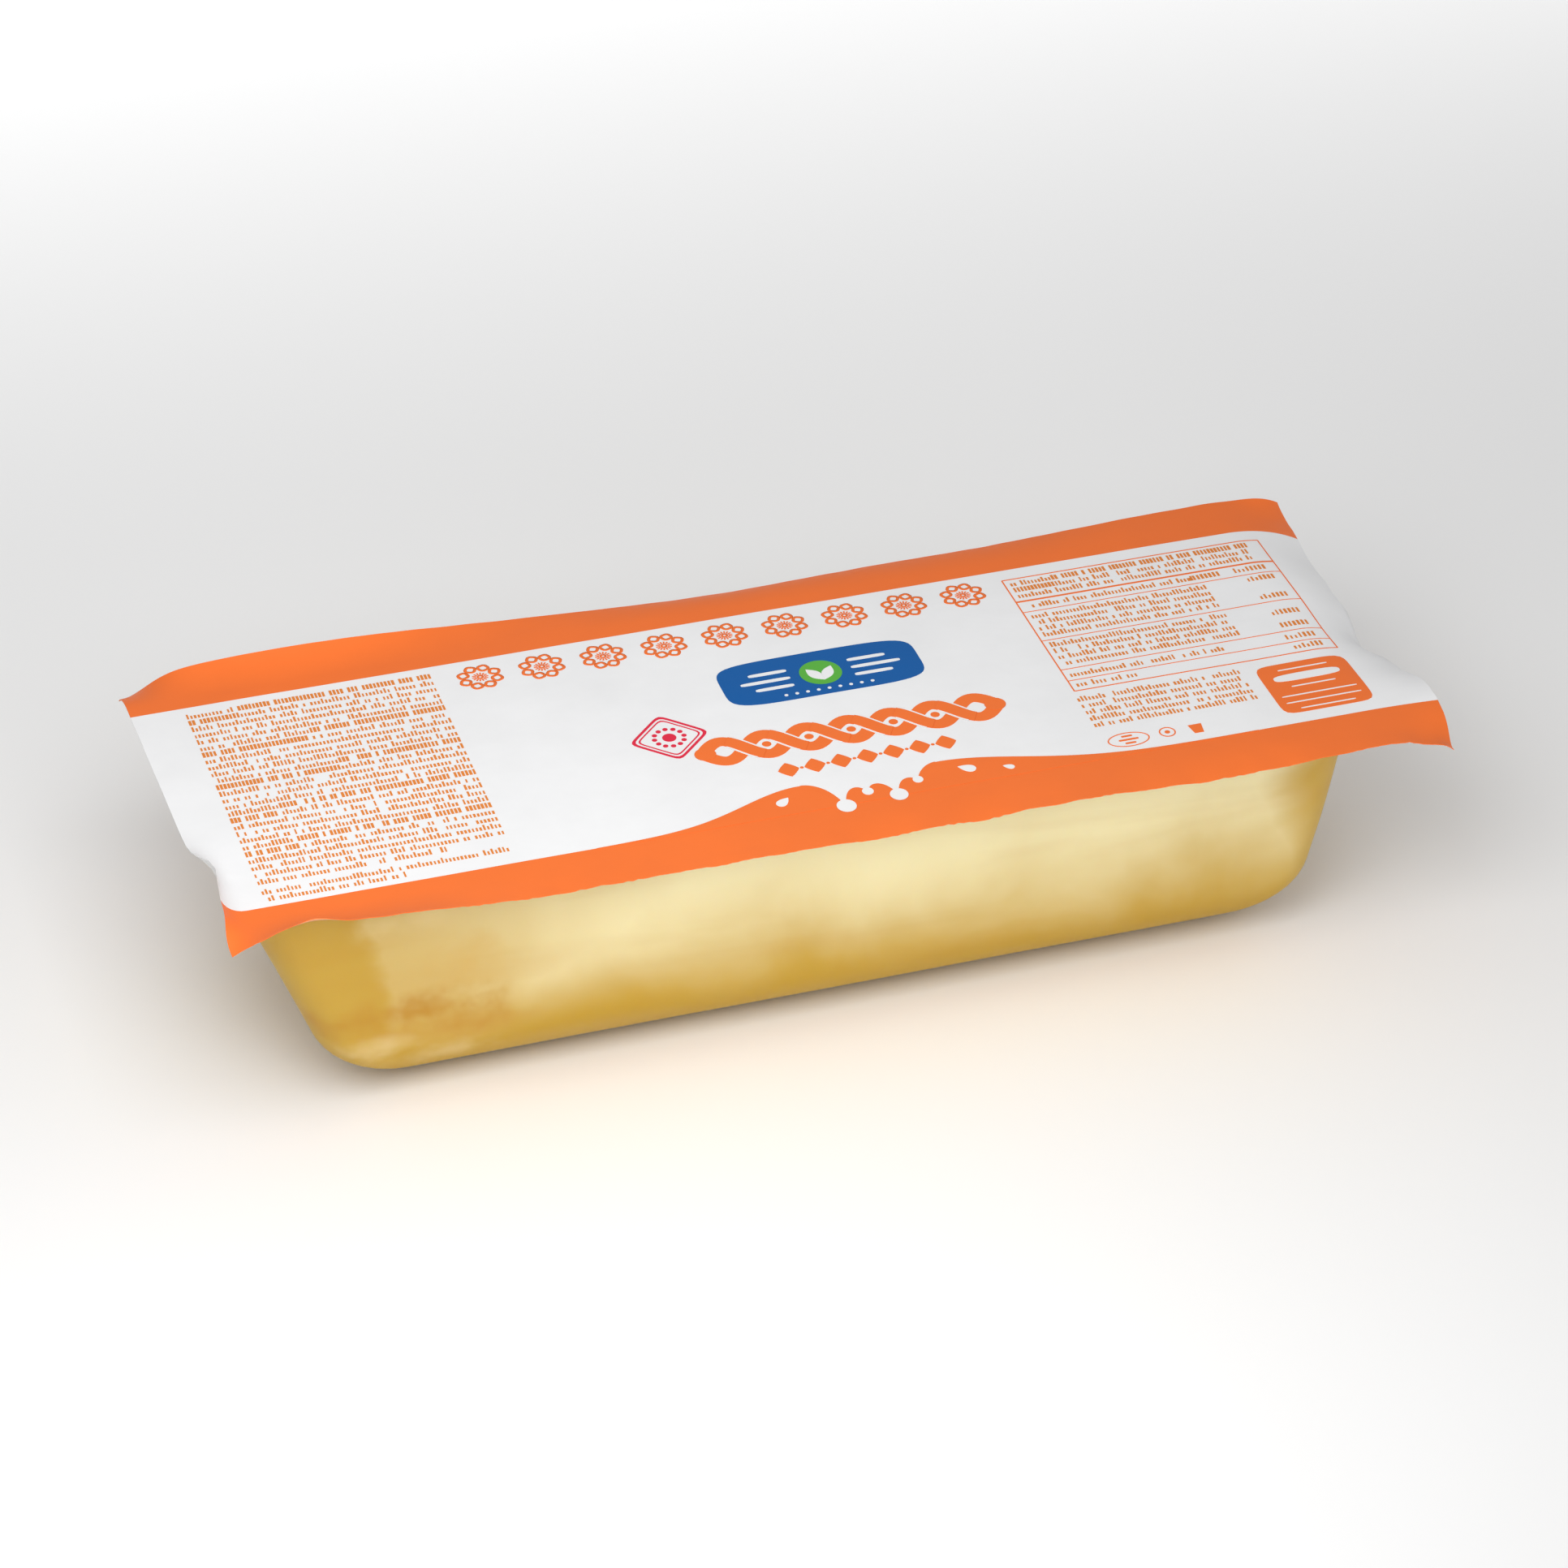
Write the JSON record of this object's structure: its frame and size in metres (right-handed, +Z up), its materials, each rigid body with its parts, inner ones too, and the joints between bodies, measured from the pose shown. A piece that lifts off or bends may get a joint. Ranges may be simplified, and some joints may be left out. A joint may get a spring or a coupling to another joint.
{
  "type": "smoked provola cheese loaf in a sealed pack",
  "caption": "Log of smoked stretched-curd cheese in a clear formed pocket, sealed under a thin printed top film with wavy margins.",
  "frame": {"origin": "centre of the pack's outline, at the level of the pocket's flat base", "axes": "+X along the loaf, +Y to the loaf's back, +Z up out of the printed film"},
  "size_m": [0.2656, 0.1018, 0.062],
  "materials": {
    "smoked_cheese": "cheese under tight clear film, soft gloss",
    "clear_film": "clear thin film, gloss",
    "printed_film": "printed film, satin gloss"
  },
  "bodies": {
    "root": {"filled_pocket": "smoked_cheese", "top_film": "printed_film"}
  },
  "joints": []
}
